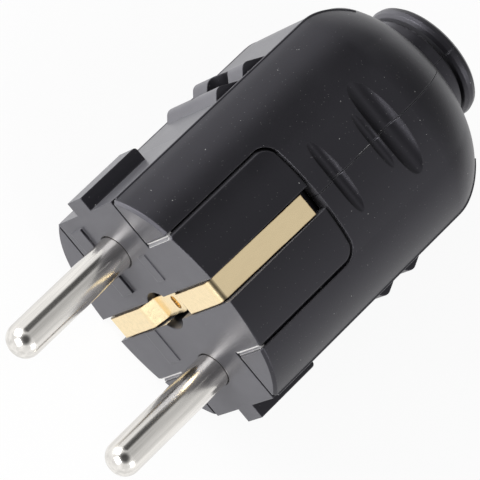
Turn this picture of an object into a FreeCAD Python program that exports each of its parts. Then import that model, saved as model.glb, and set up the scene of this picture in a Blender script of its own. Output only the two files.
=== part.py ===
"""Rewireable type F plug: two half shells round a contact carrier, with pins and earth strips.

+Y runs along the plug from the pins to the cable end, +X joins the two pins, +Z is a clip side.
The origin is the centre of the front face. The plug lies on its -Z clip side. Sizes in mm.
"""
import FreeCAD, Part
import math
import os
import re

import Sketcher

SIZES = [
    ("pin_radius", 2.4, "standard pin, 4.8 mm across"),
    ("pin_length", 19.0, "standard pin, out of the front face"),
    ("pin_spacing", 19.0, "standard distance of the pins"),
    ("collar_radius", 4.0, "collar that seats behind the face"),
    ("flat_room", 2.1, "collar of a pin to the lateral flat"),
    ("flat_distance", "=pin_spacing / 2 + collar_radius + flat_room", "axis to either lateral flat"),
    ("flat_half_height", 8.6, "half height of a lateral flat"),
    ("corner_drop", 7.4, "edge of the lateral flats up to the top of a clip side"),
    ("crown_height", "=flat_half_height + corner_drop", "axis to the top of either clip side"),
    ("corner_kink", 3.6, "kink in degrees between clip side and corner arc"),
    ("face_wall", 4.0, "thickness of the front face"),
    ("earth_block_length", 4.4, "length of the earth terminal"),
    ("earth_washer", 0.8, "square clamping washer"),
    ("earth_head_height", 1.9, "height of that head"),
    ("retainer_plate", 1.6, "plate behind the terminal chambers"),
    ("screw_end_gap", 0.3, "earth screw to the plate behind the chambers"),
    ("earth_depth", "=earth_block_length + earth_washer + earth_head_height", "earth terminal with its screw"),
    ("carrier_length", "=face_wall + earth_depth + screw_end_gap + retainer_plate", "carrier on a lateral side"),
    ("tongue_overhang", 5.3, "tongues of the carrier, past its lateral parts"),
    ("panel_length", "=carrier_length + tongue_overhang", "length of the carrier on a clip side"),
    ("crown_radius", 22.0, "radius of the clip sides across the body"),
    ("panel_half_width", 8.9, "half width of the carrier on a clip side"),
    ("panel_corner", 2.0, "radius of the rear corners of that tongue"),
    ("panel_wall", 3.6, "thickness of the tongue"),
    ("panel_web", 1.5, "side webs under the tongue"),
    ("panel_bevel", 0.35, "bevel along the tongue"),
    ("panel_front_bevel", 0.6, "bevel at the tongue's front corners"),
    ("carrier_inset", 0.7, "edge of a lateral flat to the carrier's lateral part"),
    ("carrier_half_height", "=flat_half_height - carrier_inset", "half height of that part"),
    ("carrier_proud", 0.12, "how far the carrier stands out beside the shells"),
    ("carrier_wall", 1.8, "side walls of the carrier"),
    ("chamber_wall", 1.2, "walls between the terminal chambers"),
    ("lock_ear_length", 3.4, "ears behind the carrier that the shells lock on"),
    ("lock_ear_height", 1.4, "thickness of an ear"),
    ("lock_ear_width", 2.4, "width of an ear"),
    ("lock_notch_place", 1.2, "notch in an ear, from the carrier's rear"),
    ("lock_notch_width", 1.2, "width of the notch"),
    ("lock_notch_depth", 1.0, "depth of the notch"),
    ("rib_height", 2.0, "guide rib, out from the lateral flat"),
    ("rib_half_width", 1.95, "half width of a guide rib"),
    ("rib_length", 10.2, "length of a guide rib"),
    ("rib_end_radius", 0.5, "rounded rear end of a guide rib"),
    ("joint_gap", 0.2, "clearance between carrier and shells"),
    ("horn_gap", 0.35, "open gap beside the carrier's lateral parts"),
    ("horn_bevel", 0.35, "bevel at the front edge of the shells"),
    ("shell_wall", 2.3, "wall of the half shells"),
    ("seam_gap", 0.08, "open seam between the half shells"),
    ("flank_groove", 0.3, "groove beside the lateral flats, width and depth"),
    ("ridge_height", 1.4, "grip ridges on the lateral flats"),
    ("ridge_rise", 1.3, "steep front ramp of a ridge"),
    ("ridge_fall", 3.1, "gentle rear ramp of a ridge"),
    ("ridge_crest", 1.1, "rounding of its crest"),
    ("ridge_inset", 1.4, "edge of a lateral flat to the end of a ridge"),
    ("ridge_half_width", "=flat_half_height - ridge_inset", "half length of a ridge along Z"),
    ("ridge_room", 1.8, "tongue to the first ridge"),
    ("ridge_start", "=panel_length + ridge_room", "front foot of the first ridge"),
    ("ridge_pitch", 5.0, "distance between the two ridges"),
    ("barrel_overhang", 6.2, "terminal barrels past the carrier"),
    ("barrel_end", "=carrier_length + barrel_overhang", "rear end of the barrels, from the front face"),
    ("screw_room", 5.5, "barrels to the cross screw"),
    ("screw_place", "=barrel_end + screw_room", "cross screw, from the front face"),
    ("screw_pocket_radius", 3.2, "open pocket for screw head or nut"),
    ("screw_pocket_depth", 6.6, "depth of that pocket"),
    ("screw_pocket_floor", "=flat_distance - screw_pocket_depth", "pocket floor, from the axis"),
    ("screw_boss_wall", 1.5, "boss wall round the pocket"),
    ("screw_boss_floor", 3.0, "floor of the pocket"),
    ("screw_sleeve_wall", 1.2, "sleeve round the cross screw"),
    ("housing_thread_radius", 1.5, "M3 cross screw"),
    ("screw_clearance", 0.15, "clearance round a shank"),
    ("housing_head_radius", 2.75, "cheese head of the cross screw"),
    ("housing_head_height", 2.0, "height of that head"),
    ("nut_across_flats", 5.5, "M3 hexagon nut"),
    ("nut_height", 2.4, "height of the nut"),
    ("nut_fit", 0.1, "clearance of the nut in its hexagon seat"),
    ("nut_seat", 1.2, "depth of the hexagon seat"),
    ("front_scallop_place", "=ridge_start + 2", "first finger scallop, from the front face"),
    ("front_scallop_radius", 1.2, "radius of its floor"),
    ("front_scallop_depth", 0.7, "depth of it"),
    ("middle_scallop_radius", 1.0, "radius of its floor"),
    ("middle_scallop_depth", 0.4, "depth of it"),
    ("rear_scallop_radius", 2.2, "radius of its floor"),
    ("rear_scallop_depth", 1.2, "depth of it"),
    ("clamp_room", 9.9, "cross screw to the cord clamp"),
    ("clamp_place", "=screw_place + clamp_room", "cord clamp, from the front face"),
    ("clamp_half_width", 2.9, "half width of the clamp bar"),
    ("rear_scallop_room", 2.65, "wide finger scallop, before the cord clamp"),
    ("rear_scallop_place", "=clamp_place - rear_scallop_room", "that scallop, from the front face"),
    ("scallop_pitch", 2.85, "narrow scallop, before the wide one"),
    ("middle_scallop_place", "=rear_scallop_place - scallop_pitch", "that scallop, from the front face"),
    ("peg_radius", 1.2, "radius of a locating peg"),
    ("peg_length", 2.5, "how far a peg enters the other shell"),
    ("peg_boss_radius", 2.5, "boss that carries a peg"),
    ("peg_room", 0.8, "between that boss and the cord clamp"),
    ("peg_place", "=clamp_place - clamp_half_width - peg_boss_radius - peg_room", "pegs, from the front face"),
    ("peg_drop", 4.4, "top of a clip side down to a peg"),
    ("peg_height", "=crown_height - peg_drop", "locating pegs, from the axis"),
    ("shell_tail", 11.6, "cord clamp to the rear end of the shoulder"),
    ("shell_length", "=clamp_place + shell_tail", "front face to the rear end of the shoulder"),
    ("shoulder_depth", 10.1, "length of the rounded rear shoulder"),
    ("shoulder_start", "=shell_length - shoulder_depth", "where that shoulder starts"),
    ("shoulder_fullness", 1.72, "how full the shoulder bulges, 2 is an ellipse"),
    ("shell_mouth_radius", 8.15, "rear rim of the shoulder"),
    ("end_wall", 2.4, "rear wall round the cord hole"),
    ("peg_clearance", 0.12, "clearance round a peg"),
    ("pin_tip_radius", 2.1, "rounded pin tip"),
    ("pin_clearance", 0.1, "clearance of a pin in the face"),
    ("shank_radius", 2.68, "thicker shank of a pin inside the face"),
    ("undercut_radius", 2.2, "turned undercut between pin and shank"),
    ("shank_start", 0.6, "where the shank begins, behind the front face"),
    ("collar_length", 1.6, "length of the collar"),
    ("collar_step", 0.7, "collar of a pin, out from its terminal barrel"),
    ("barrel_radius", "=collar_radius - collar_step", "terminal barrel behind a pin"),
    ("barrel_clearance", 0.2, "clearance round a collar or barrel"),
    ("wire_hole_radius", 1.7, "wire hole in the barrel"),
    ("wire_hole_depth", 7.2, "depth of the wire hole"),
    ("terminal_screw_room", 3.2, "terminal screws to the end of the barrel"),
    ("terminal_screw_place", "=barrel_end - terminal_screw_room", "those screws, from the front face"),
    ("terminal_thread_radius", 1.5, "headless M3 terminal screw"),
    ("terminal_screw_grip", 0.9, "inner end of that screw, from the pin's axis"),
    ("thread_gap", 0.03, "clearance between threads"),
    ("driver_slot", 0.7, "width of a screwdriver slot"),
    ("driver_slot_depth", 0.8, "depth of a screwdriver slot"),
    ("retainer_gap", 0.15, "clearance of that plate in the carrier"),
    ("strip_width", 3.1, "width of the brass earth strips"),
    ("strip_thickness", 0.6, "thickness of the brass earth strips"),
    ("strip_channel_gap", 0.25, "side clearance of a strip in its channel"),
    ("strip_seat_gap", 0.05, "clearance behind a strip"),
    ("strip_proud", 0.15, "how far a strip stands out of the front face"),
    ("arm_front_drop", 1.55, "top of a clip side down to the contact arm at the face"),
    ("arm_rear_drop", 0.25, "the same at the arm's free end"),
    ("arm_end_gap", 1.7, "free end of a contact arm to the end of the tongue"),
    ("arm_end", "=panel_length - arm_end_gap", "that end, from the front face"),
    ("arm_channel_depth", 2.4, "channel for a contact arm, below the crown"),
    ("bend_radius", 0.75, "bends of the strips, at mid thickness"),
    ("upper_dip_start", 5.5, "where the upper strip bends down into the face"),
    ("upper_dip_end", 3.35, "where it lies flat again"),
    ("lower_dip_start", 5.2, "where the lower strip bends down into the face"),
    ("lower_dip_end", 3.6, "where it lies flat again"),
    ("dip_depth", 1.45, "how deep the strip on top lies in the face"),
    ("upper_strip_end", 2.0, "end of the strip below, past the axis"),
    ("notch_depth", 0.75, "V notches beside that slope"),
    ("tongue_end", 3.0, "rounded end of the strip on top, past the axis"),
    ("lance_width", 0.95, "small slot in that end"),
    ("lance_length", 1.9, "length of that slot"),
    ("lance_place", 0.95, "place of that slot"),
    ("face_recess_radius", 2.9, "round recess in the middle of the face"),
    ("face_recess_floor", 0.7, "floor left under that recess"),
    ("face_recess_depth", "=face_wall - face_recess_floor", "depth of that recess"),
    ("earth_block_half", 3.2, "half side of the earth terminal"),
    ("earth_block_clearance", 0.2, "clearance round the earth terminal"),
    ("earth_stud_radius", 1.9, "stud of the earth terminal in the face"),
    ("earth_thread_radius", 1.75, "M3.5 earth screw"),
    ("earth_thread_reach", 3.4, "thread of that screw in the block"),
    ("earth_head_radius", 2.9, "head of the earth screw"),
    ("clamp_end_gap", 2.3, "ends of the clamp bar to the shells"),
    ("clamp_half_length", "=crown_height - shell_wall - clamp_end_gap", "half length of the clamp bar"),
    ("clamp_screw_edge", 2.8, "clamp screws, from the ends of the bar"),
    ("clamp_screw_spread", "=clamp_half_length - clamp_screw_edge", "clamp screws, from the axis"),
    ("clamp_boss_radius", 2.9, "bosses under the clamp"),
    ("clamp_level", 2.4, "seat of the clamp, right of the axis"),
    ("clamp_thickness", 2.6, "thickness of the clamp bar"),
    ("clamp_arch_radius", 6.0, "hollow in the clamp for the cord"),
    ("clamp_arch_depth", 1.2, "depth of that hollow"),
    ("clamp_thread_radius", 1.6, "clamp screw"),
    ("clamp_head_radius", 2.7, "head of a clamp screw"),
    ("clamp_head_height", 1.9, "height of that head"),
    ("clamp_screw_reach", 7.5, "thread of a clamp screw in its boss"),
    ("saddle_rib", 1.6, "ribs under the cord"),
    ("saddle_rib_spread", 2.1, "ribs, before and behind the clamp's middle"),
    ("saddle_half_width", 6.0, "half width of those ribs"),
    ("cord_radius", 4.6, "hole for the cord"),
    ("cord_flare_radius", 5.8, "flared mouth of that hole"),
    ("cord_flare_length", 1.3, "length of the flare"),
    ("cavity_end_radius", 9.0, "cavity before the rear wall"),
    ("neck_radius", 7.87, "neck behind the shoulder"),
    ("neck_length", 2.3, "length of the neck"),
    ("rim_groove", 0.4, "groove before the rim"),
    ("rim_groove_radius", 7.3, "floor of that groove"),
    ("rim_radius", 8.56, "rounded rim at the cord end"),
    ("rim_length", 2.25, "length of the rim"),
    ("rim_rounding", 1.1, "rounding of the rim, in three steps"),
    ("marking_height", 0.35, "bare marking field on the face, raised"),
    ("marking_edge", 1.5, "lateral flat to that field"),
    ("marking_outer", "=flat_distance - marking_edge", "outer end of that field, from the axis"),
    ("marking_inner", 3.8, "inner end of that field"),
    ("marking_top", 3.3, "upper edge of that field, below the pins"),
    ("marking_width", 2.9, "width of that field"),
    ("frame_height", 0.12, "small bare fields on the face, raised"),
]

doc = FreeCAD.newDocument("type_f_plug")
sheet = doc.addObject("Spreadsheet::Sheet", "Sizes")
for row, (alias, number, note) in enumerate(SIZES, 1):
    sheet.set(f"A{row}", note)
    sheet.set(f"B{row}", str(number))
    sheet.setAlias(f"B{row}", alias)
doc.recompute()
ALIASES = {alias for alias, number, note in SIZES}


def size(alias):
    """Value of one driving dimension."""
    return float(sheet.get(alias))


def formula(text):
    """Expression text with each alias tied to the sheet."""
    return re.sub(r"[a-z_]+", lambda m: "Sizes." + m.group() if m.group() in ALIASES else m.group(), str(text))


def bind(thing, **formulas):
    """Tie properties of an object to the sheet."""
    for name, text in formulas.items():
        thing.setExpression(name, formula(text))


def place(thing, x=0, y=0, z=0):
    """Tie the position of an object to the sheet."""
    for letter, text in zip("xyz", (x, y, z)):
        thing.setExpression(f"Placement.Base.{letter}", formula(text))
    return thing


TURN_TO = {
    "X": FreeCAD.Rotation(FreeCAD.Vector(0, 1, 0), 90),
    "Y": FreeCAD.Rotation(FreeCAD.Vector(1, 0, 0), -90),
    "Z": FreeCAD.Rotation(),
    "-X": FreeCAD.Rotation(FreeCAD.Vector(0, 1, 0), -90),
    "-Y": FreeCAD.Rotation(FreeCAD.Vector(1, 0, 0), 90),
    "-Z": FreeCAD.Rotation(FreeCAD.Vector(1, 0, 0), 180),
}


def rod(name, axis, radius, length, x=0, y=0, z=0):
    """Cylinder that starts at a point and runs along an axis."""
    piece = doc.addObject("Part::Cylinder", name)
    piece.Placement.Rotation = TURN_TO[axis]
    bind(piece, Radius=radius, Height=length)
    return place(piece, x, y, z)


def block(name, half_x, half_z, front, length, x=0, z=0):
    """Box centred on (x, z) that runs from front along +Y."""
    piece = doc.addObject("Part::Box", name)
    bind(piece, Length=f"2 * ({half_x})", Width=length, Height=f"2 * ({half_z})")
    return place(piece, f"({x}) - ({half_x})", front, f"({z}) - ({half_z})")


def join(name, pieces):
    """Union of several objects."""
    union = doc.addObject("Part::MultiFuse", name)
    union.Shapes = pieces
    return union


def overlap(name, pieces):
    """What several objects share."""
    shared = doc.addObject("Part::MultiCommon", name)
    shared.Shapes = pieces
    return shared


def carve(name, base, tools):
    """Base without the tools."""
    cut = doc.addObject("Part::Cut", name)
    cut.Base = base
    cut.Tool = tools[0] if len(tools) == 1 else join(name + "_tools", tools)
    return cut


def group(name, pieces):
    """Several like solids in one node."""
    bundle = doc.addObject("Part::Compound", name)
    bundle.Links = pieces
    return bundle


def origin_plane(body, role):
    """One of the body's own origin planes."""
    return next(item for item in body.Origin.OriginFeatures if item.Role == role)


def outline(body, name, role, corners):
    """Closed sketch whose corners are tied to the sheet."""
    sketch = body.newObject("Sketcher::SketchObject", name)
    sketch.AttachmentSupport = [(origin_plane(body, role), "")]
    sketch.MapMode = "FlatFace"
    count = len(corners)
    ring = [(math.cos(2 * math.pi * i / count), math.sin(2 * math.pi * i / count)) for i in range(count)]
    for i in range(count):
        start = FreeCAD.Vector(*ring[i], 0)
        end = FreeCAD.Vector(*ring[(i + 1) % count], 0)
        sketch.addGeometry(Part.LineSegment(start, end), False)
    for i in range(count):
        sketch.addConstraint(Sketcher.Constraint("Coincident", i, 2, (i + 1) % count, 1))
    for i, (across, along) in enumerate(corners):
        for kind, text, start in (("DistanceX", across, ring[i][0]), ("DistanceY", along, ring[i][1])):
            index = sketch.addConstraint(Sketcher.Constraint(kind, -1, 1, i, 1, start))
            sketch.setExpression(f"Constraints[{index}]", formula(text))
    return sketch


def turned(name, corners):
    """Body turned about its own Y axis from corners given as radius and length."""
    body = doc.addObject("PartDesign::Body", name)
    sketch = outline(body, name + "_profile", "XY_Plane", corners)
    feature = body.newObject("PartDesign::Revolution", name + "_turned")
    feature.Profile = sketch
    feature.ReferenceAxis = (sketch, ["V_Axis"])
    feature.Angle = 360
    return body


def padded(name, role, corners, length):
    """Body pushed out both ways from one of its planes."""
    body = doc.addObject("PartDesign::Body", name)
    sketch = outline(body, name + "_profile", role, corners)
    feature = body.newObject("PartDesign::Pad", name + "_pad")
    feature.Profile = sketch
    feature.Midplane = True
    bind(feature, Length=length)
    return body


def round_edges(body, wanted, radius):
    """Fillet on the edges of the body that the test picks."""
    doc.recompute()
    tip = body.Tip
    names = [f"Edge{i}" for i, edge in enumerate(tip.Shape.Edges, 1) if wanted(edge)]
    feature = body.newObject("PartDesign::Fillet", body.Name + "_round" + str(len(body.Group)))
    feature.Base = (tip, names)
    bind(feature, Radius=radius)
    return feature


def circle_edge(edge, radius, level=None):
    """True for a full circle of that radius, at that Y if one is given."""
    if not isinstance(edge.Curve, Part.Circle) or abs(edge.Curve.Radius - radius) > 1e-4:
        return False
    return level is None or abs(edge.Curve.Center.y - level) < 1e-4


SIDES = (("left", -1), ("right", 1))
CLIP_SIDES = (("upper", 1), ("lower", -1))


def crown(name, wall, front, length):
    """What lies between the curved clip sides, a wall below them."""
    drums = []
    for side, sign in CLIP_SIDES:
        centre = f"{sign} * (crown_height - crown_radius)"
        drums.append(rod(f"{name}_{side}_drum", "Y", f"crown_radius - ({wall})", length, y=front, z=centre))
    return drums


def corner_bulge(start, end, lean):
    """Middle point of the corner arc that leaves a clip side of that slope with a small kink."""
    across = end[0] - start[0]
    down = start[1] - end[1]
    turn = math.atan2(down, across) - lean + math.radians(size("corner_kink"))
    rise = math.tan(turn / 2) / 2
    return ((start[0] + end[0]) / 2 + rise * down, (start[1] + end[1]) / 2 + rise * across)


def section(level, wall, mouth, share):
    """Body section at a level, from the full form (share 1) to the round mouth (share 0)."""
    radius = size("crown_radius")
    lean = math.asin(size("panel_half_width") / radius)
    centre = size("crown_height") - radius
    crest = ((radius - wall) * math.sin(lean), centre + (radius - wall) * math.cos(lean))
    corner = (size("flat_distance") - wall, size("flat_half_height") - wall / 2)
    full = [(0, size("crown_height") - wall), crest,
            corner_bulge(crest, corner, lean), corner, (corner[0], 0)]
    ring = []
    for x, z in full:
        angle = math.atan2(z, x)
        ring.append((mouth * math.cos(angle) * (1 - share) + x * share,
                     mouth * math.sin(angle) * (1 - share) + z * share))
    top, crest, bulge, corner, side = ring

    def point(place, across=1, up=1):
        return FreeCAD.Vector(place[0] * across, level, place[1] * up)

    arcs = [(point(crest, -1), point(top), point(crest)), (point(crest), point(bulge), point(corner)),
            (point(corner), point(side), point(corner, 1, -1)),
            (point(corner, 1, -1), point(bulge, 1, -1), point(crest, 1, -1)),
            (point(crest, 1, -1), point(top, 1, -1), point(crest, -1, -1)),
            (point(crest, -1, -1), point(bulge, -1, -1), point(corner, -1, -1)),
            (point(corner, -1, -1), point(side, -1), point(corner, -1)),
            (point(corner, -1), point(bulge, -1), point(crest, -1))]
    edges = []
    for start, middle, end in arcs:
        straight = (middle - start).cross(end - start).Length < 1e-6
        edge = Part.LineSegment(start, end) if straight else Part.Arc(start, middle, end)
        edges.append(edge.toShape())
    return Part.Wire(edges)


def body_form(name, wall, front, end, mouth, steps, smooth):
    """Straight body and its rounded shoulder, lofted through sections at some angles."""
    turn = size("shoulder_start")
    depth = end - turn
    straight = Part.Face(section(front, wall, mouth, 1)).extrude(FreeCAD.Vector(0, turn - front, 0))
    if smooth:
        rim = [e for e in straight.Edges if max(abs(v.Y - front) for v in e.Vertexes) < 1e-6]
        straight = straight.makeChamfer(size("horn_bevel"), rim)
    power = size("shoulder_fullness")
    rings = []
    for step in steps:
        along = math.sin(math.radians(step))
        rings.append(section(turn + depth * along, wall, mouth, (1 - along ** power) ** (1 / power)))
    feature = doc.addObject("Part::Feature", name)
    feature.Shape = straight.fuse(Part.makeLoft(rings, True, not smooth)).removeSplitter()
    return feature


def half(name, sign, thing):
    """One side of a thing, on its side of the seam."""
    reach = doc.addObject("Part::Box", name + "_reach")
    bind(reach, Length="2 * flat_distance", Width="2 * shell_length", Height="4 * crown_height")
    start = "seam_gap / 2" if sign > 0 else "-2 * flat_distance - seam_gap / 2"
    place(reach, start, "-shell_length / 4", "-2 * crown_height")
    return overlap(name, [thing, reach])


def tongue_plan(name, gap):
    """Plan form of the carrier on the clip sides, with its rounded rear corners."""
    wide = f"(panel_half_width + {gap})"
    end = f"(panel_length + {gap})"
    front = "-1" if gap != "0" else "0"
    plan = padded(name, "XY_Plane", [(f"-{wide}", front), (wide, front), (wide, end), (f"-{wide}", end)],
                  "3 * crown_height")
    limit = size("panel_length") - 1
    rear = round_edges(plan, lambda e: abs(e.tangentAt(0).z) > 0.9 and e.CenterOfMass.y > limit,
                       f"panel_corner + {gap}")
    doc.recompute()
    assert rear.isValid()
    return plan


# Contact carrier: front face, clip-side tongues, guide ribs and terminal chambers in one moulding.
CARRIER_HALF = "(flat_distance + carrier_proud)"
tongue_form = overlap("tongue_form", [tongue_plan("tongue_plan", "0")]
                      + crown("tongue", "0", "0", "panel_length"))
doc.recompute()
bevels = []
for number, edge in enumerate(tongue_form.Shape.Edges, 1):
    box = edge.BoundBox
    if box.YMax < 0.01 and box.XLength < 0.01:
        bevels.append((number, size("panel_front_bevel"), size("panel_front_bevel")))
    elif box.YMax > 1 and box.ZLength < size("crown_height"):
        bevels.append((number, size("panel_bevel"), size("panel_bevel")))
tongues = doc.addObject("Part::Chamfer", "tongues")
tongues.Base = tongue_form
tongues.Edges = bevels
core = block("core", CARRIER_HALF, "carrier_half_height", "0", "carrier_length")
ears = []
ear_notches = []
for side, sign in SIDES:
    for clip, up in CLIP_SIDES:
        outer = "(flat_distance - shell_wall - joint_gap * 2)"
        ears.append(block(f"{side}_{clip}_ear", "lock_ear_width / 2", "lock_ear_height / 2",
                          "carrier_length - 1", "lock_ear_length + 1",
                          x=f"{sign} * ({outer} - lock_ear_width / 2)",
                          z=f"{up} * (carrier_half_height - joint_gap * 2 - lock_ear_height / 2)"))
        ear_notches.append(block(f"{side}_{clip}_ear_notch", "lock_notch_depth", "lock_ear_height",
                                 "carrier_length + lock_notch_place", "lock_notch_width",
                                 x=f"{sign} * {outer}",
                                 z=f"{up} * (carrier_half_height - joint_gap * 2 - lock_ear_height / 2)"))
ribs = []
for side, sign in SIDES:
    foot = f"{sign} * (flat_distance - 1)"
    top = f"{sign} * ({CARRIER_HALF} + rib_height)"
    rib = padded(f"{side}_guide_rib", "XY_Plane", [(foot, "0"), (top, "0"), (top, "rib_length"),
                                                   (foot, "rib_length")], "2 * rib_half_width")
    round_edges(rib, lambda e: abs(e.tangentAt(0).z) > 0.9 and e.CenterOfMass.y > 1
                and abs(e.CenterOfMass.x) > size("flat_distance"), "rib_end_radius")
    ribs.append(rib)
fields = []
for name, inner, outer, top, width, height in (
        ("marking_field", "-marking_inner", "-marking_outer", "-marking_top", "marking_width",
         "marking_height"),
        ("upper_field", "-marking_inner", "-(marking_inner + 4)", "2 * marking_width", "marking_width - 1",
         "frame_height"),
        ("lower_field", "marking_inner / 2", "marking_inner / 2 + 5", "-2 * marking_width", "marking_width",
         "frame_height")):
    fields.append(block(name, f"abs(({outer}) - ({inner})) / 2", f"({width}) / 2", f"-{height}", f"1 + {height}",
                        x=f"(({inner}) + ({outer})) / 2", z=f"({top}) - ({width}) / 2"))
carrier_form = join("carrier_form", [core, tongues] + ears + ribs + fields)

rear_length = "carrier_length - face_wall + 1"
chamber_length = "carrier_length - retainer_plate - retainer_gap - face_wall"
barrel_room = "(collar_radius + barrel_clearance)"
earth_room = "(earth_block_half + earth_block_clearance)"
tower_walls = []
chambers = []
for side, sign in SIDES:
    x = f"{sign} * pin_spacing / 2"
    tower_walls.append(rod(f"{side}_tower", "Y", f"{barrel_room} + chamber_wall", chamber_length,
                           x=x, y="face_wall"))
    chambers.append(rod(f"{side}_chamber", "Y", barrel_room, rear_length, x=x, y="face_wall"))
    chambers.append(rod(f"{side}_pin_hole", "Y", "pin_radius + pin_clearance", "face_wall", x=x, y="-1"))
    chambers.append(rod(f"{side}_shank_hole", "Y", "shank_radius + pin_clearance", "face_wall", x=x,
                        y="shank_start - pin_clearance"))
tower_walls.append(block("earth_tower", f"{earth_room} + chamber_wall", f"{earth_room} + chamber_wall",
                         "face_wall", chamber_length))
chambers.append(block("earth_chamber", earth_room, earth_room, "face_wall", rear_length))
chambers.append(rod("earth_stud_hole", "Y", "earth_stud_radius + pin_clearance", "face_wall + 1", y="0"))
hollow = carve("carrier_hollow", block("carrier_inside", f"{CARRIER_HALF} - carrier_wall",
                                       "carrier_half_height - carrier_wall", "face_wall", rear_length),
               tower_walls)
under_tongues = carve(
    "under_tongues",
    overlap("between_tongues", [block("between_webs", "panel_half_width - panel_web", "crown_height",
                                      "face_wall", "carrier_length - face_wall")]
            + crown("between", "panel_wall", "0", "2 * carrier_length")),
    [block("core_room", "panel_half_width", "carrier_half_height", "0", "2 * carrier_length")])
behind_core = overlap("behind_core", [block("behind_block", "panel_half_width", "crown_height",
                                            "carrier_length", "panel_length")]
                      + crown("behind", "panel_wall", "0", "3 * carrier_length"))

channel_half = "(strip_width / 2 + strip_channel_gap)"
face_floor = "(strip_thickness - strip_proud + strip_seat_gap)"
deep_floor = "(dip_depth + 2 * strip_thickness + strip_seat_gap)"
channels = [
    block("face_channel", channel_half, "2 * crown_height", "-1", f"1 + {face_floor}"),
    block("dip_channel", channel_half, "upper_dip_start + joint_gap", "-1", f"1 + {deep_floor}"),
    rod("face_recess", "Y", "face_recess_radius", "1 + face_recess_depth", y="-1"),
]
for clip, up in CLIP_SIDES:
    floor = "crown_height - arm_channel_depth"
    channels.append(block(f"{clip}_arm_channel", channel_half, "arm_channel_depth", "-1", "panel_length + 2",
                          z=f"{up} * ({floor} + arm_channel_depth)"))
contact_carrier = carve("contact_carrier", carrier_form,
                        [hollow, under_tongues, behind_core] + chambers + ear_notches + channels)

# Half shells: one body form split along the seam, with horns beside the carrier.
wall = size("shell_wall")
outer_form = body_form("outer_form", 0, 0, size("shell_length"), size("shell_mouth_radius"),
                       (0, 10, 20, 32, 45, 58, 70, 80, 90), True)
inner_form = body_form("inner_form", wall, size("carrier_length"), size("shell_length") - size("end_wall"),
                       size("cavity_end_radius"), (0, 30, 60, 90), False)
neck_end = "(shell_length + neck_length)"
rim_front = "(shell_length + neck_length + rim_groove)"
rim_end = f"({rim_front} + rim_length)"
neck_profile = [("0", "shell_length - end_wall / 2"), ("neck_radius", "shell_length - end_wall / 2"),
                ("neck_radius", neck_end), ("rim_groove_radius", neck_end), ("rim_groove_radius", rim_front)]
for step in (0, 30, 60, 90):
    neck_profile.append((f"rim_radius - rim_rounding * (1 - sin({step}))",
                         f"{rim_front} + rim_rounding * (1 - cos({step}))"))
for step in (90, 60, 30, 0):
    neck_profile.append((f"rim_radius - rim_rounding * (1 - sin({step}))",
                         f"{rim_end} - rim_rounding * (1 - cos({step}))"))
neck_form = turned("neck_form", neck_profile + [("0", rim_end)])
cord_hole = turned("cord_hole", [
    ("0", "shell_length - 2 * end_wall"), ("cord_radius", "shell_length - 2 * end_wall"),
    ("cord_radius", f"{rim_end} - cord_flare_length"), ("cord_flare_radius", rim_end),
    ("cord_flare_radius", f"{rim_end} + 1"), ("0", f"{rim_end} + 1")])
ridges = []
for side, sign in SIDES:
    for number in range(2):
        start = f"(ridge_start + {number} * ridge_pitch)"
        foot = f"{sign} * (flat_distance - 1)"
        base = f"{sign} * flat_distance"
        top = f"{sign} * (flat_distance + ridge_height)"
        ridge = padded(f"{side}_ridge_{number + 1}", "XY_Plane",
                       [(foot, start), (base, start), (top, f"{start} + ridge_rise"),
                        (base, f"{start} + ridge_rise + ridge_fall"),
                        (foot, f"{start} + ridge_rise + ridge_fall")], "2 * ridge_half_width")
        crest = size("flat_distance") + size("ridge_height")
        round_edges(ridge, lambda e: abs(e.tangentAt(0).z) > 0.9 and abs(abs(e.CenterOfMass.x) - crest) < 0.01,
                    "ridge_crest")
        ridges.append(ridge)
gripped = join("gripped_form", [outer_form, neck_form] + ridges)

tongue_room = overlap("tongue_room", [tongue_plan("tongue_room_plan", "joint_gap"),
                                      block("tongue_reach", "2 * panel_half_width", "2 * crown_height",
                                            "-1", "2 * panel_length")])
carrier_room = join("carrier_room", [
    tongue_room,
    block("core_reach", "2 * flat_distance", "carrier_half_height + horn_gap", "-1",
          "1 + carrier_length + joint_gap / 4")])
scallops = []
for clip, up in CLIP_SIDES:
    for part in ("front", "middle", "rear"):
        scallops.append(rod(f"{clip}_{part}_scallop", "X", f"{part}_scallop_radius", "2 * panel_half_width",
                            x="-panel_half_width", y=f"{part}_scallop_place",
                            z=f"{up} * (crown_height - {part}_scallop_depth + {part}_scallop_radius)"))
flank_grooves = []
for side, sign in SIDES:
    for clip, up in CLIP_SIDES:
        flank_grooves.append(block(f"{side}_{clip}_groove", "flank_groove", "flank_groove / 2", "carrier_length",
                                   "shoulder_start - carrier_length + end_wall", x=f"{sign} * flat_distance",
                                   z=f"{up} * (flat_half_height - flank_groove)"))
wall_form = carve("wall_form", gripped, [inner_form, carrier_room, cord_hole] + scallops + flank_grooves)


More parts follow.
